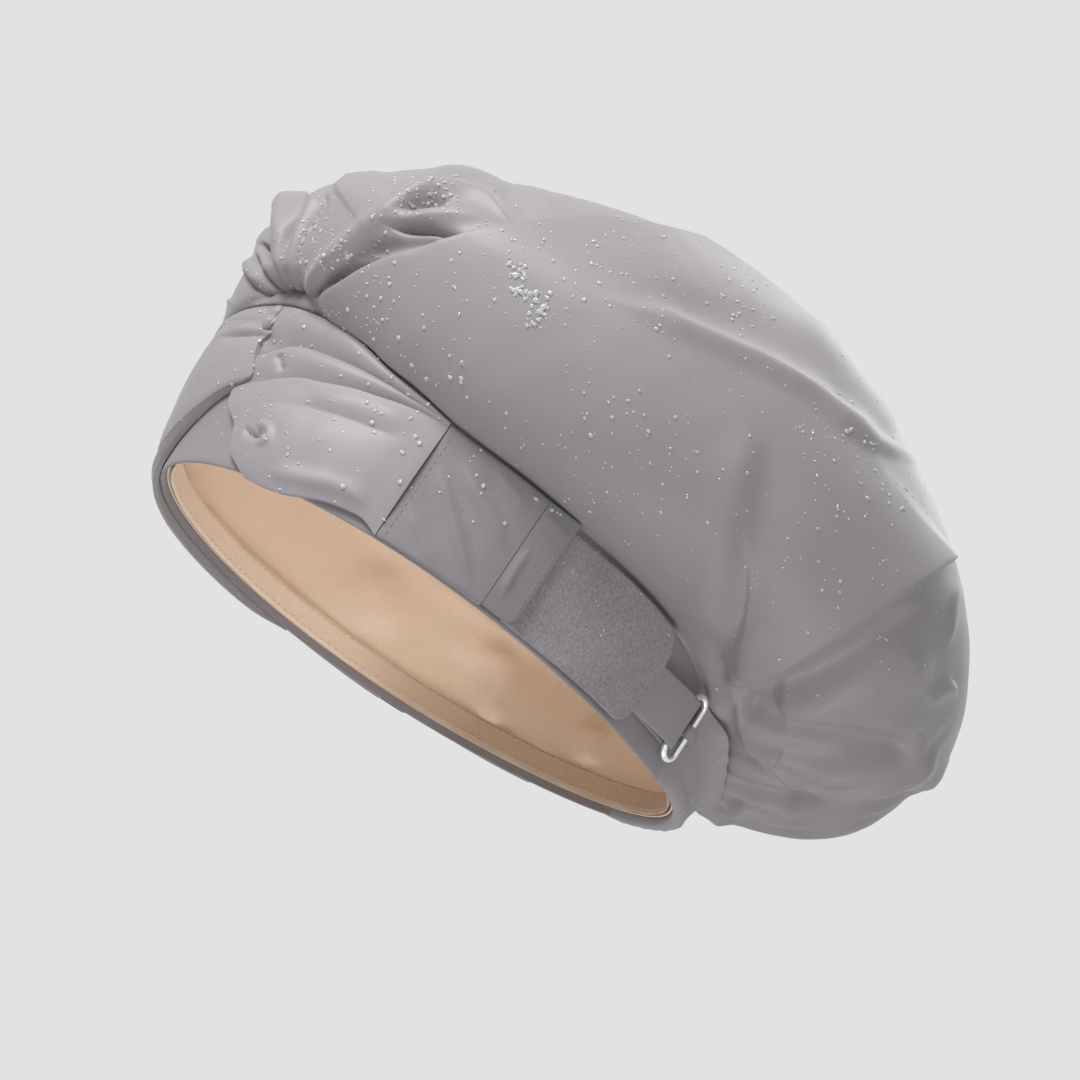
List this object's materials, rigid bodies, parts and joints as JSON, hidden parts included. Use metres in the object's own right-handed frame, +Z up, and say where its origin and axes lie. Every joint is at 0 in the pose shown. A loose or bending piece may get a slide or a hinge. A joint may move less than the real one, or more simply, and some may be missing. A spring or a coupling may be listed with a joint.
{
  "type": "draped shower cap",
  "caption": "Draped waterproof shower cap with a pleated front knot, a lined crown and a hook-and-loop closure with a wire ring on each side.",
  "frame": {"origin": "centre of the head opening, on the plane of the rim", "axes": "+Z up from the rim to the crown, -Y to the forehead, +X to the wearer's left"},
  "size_m": [0.2093, 0.2657, 0.159],
  "materials": {
    "shell": "coated satin cloth, water repellent",
    "band": "coated satin cloth, a shade darker",
    "lining": "brushed satin lining",
    "facing": "flat woven hem tape",
    "loop": "brushed loop pile",
    "hook": "nylon hook tape",
    "elastic": "woven elastic",
    "wire": "satin plated wire"
  },
  "bodies": {
    "root": {"crown_shell": "shell", "crown_lining": "lining", "lining_facing": "facing", "base_band": "band", "left_pleat_lower": "shell", "left_pleat_middle": "shell", "left_pleat_upper": "shell", "right_pleat_lower": "shell", "right_pleat_upper": "shell", "knot_tack": "shell", "side_panel_left": "band", "side_panel_right": "band", "ring_tab_left": "shell", "ring_tab_right": "shell", "back_casing": "shell", "back_elastic": "elastic"},
    "flap_left": {"hook_flap_left": "band", "hook_tape_left": "hook"},
    "flap_right": {"hook_flap_right": "band", "hook_tape_right": "hook"},
    "ring_left": {"wire_ring_left": "wire"},
    "ring_right": {"wire_ring_right": "wire"},
    "strap_left": {"strap_left": "band", "loop_panel_left": "loop"},
    "strap_right": {"strap_right": "band", "loop_panel_right": "loop"}
  },
  "joints": [
    {"name": "flap_left_peel", "type": "hinge", "parent": "root", "child": "flap_left", "pos_m": [0.07607, 0.00383, 0.02], "axis": [0, 0, -1], "range_deg": [0, 140]},
    {"name": "flap_right_peel", "type": "hinge", "parent": "root", "child": "flap_right", "pos_m": [-0.07607, 0.00383, 0.02], "axis": [0, 0, 1], "range_deg": [0, 140]},
    {"name": "ring_left_tilt", "type": "hinge", "parent": "root", "child": "ring_left", "pos_m": [0.03753, 0.07942, 0.016], "axis": [0, 0, 1], "range_deg": [0, 6]},
    {"name": "ring_right_tilt", "type": "hinge", "parent": "root", "child": "ring_right", "pos_m": [-0.03753, 0.07942, 0.016], "axis": [0, 0, -1], "range_deg": [0, 6]},
    {"name": "strap_left_lift", "type": "hinge", "parent": "ring_left", "child": "strap_left", "pos_m": [0.04196, 0.075, 0.016], "axis": [0, 0, 1], "range_deg": [0, 9]},
    {"name": "strap_right_lift", "type": "hinge", "parent": "ring_right", "child": "strap_right", "pos_m": [-0.04196, 0.075, 0.016], "axis": [0, 0, -1], "range_deg": [0, 9]}
  ],
  "couplings": [
    {"joint": "ring_left_tilt", "follows": "flap_left_peel", "ratio": 0.04},
    {"joint": "strap_left_lift", "follows": "flap_left_peel", "ratio": 0.06},
    {"joint": "ring_right_tilt", "follows": "flap_right_peel", "ratio": 0.04},
    {"joint": "strap_right_lift", "follows": "flap_right_peel", "ratio": 0.06}
  ]
}
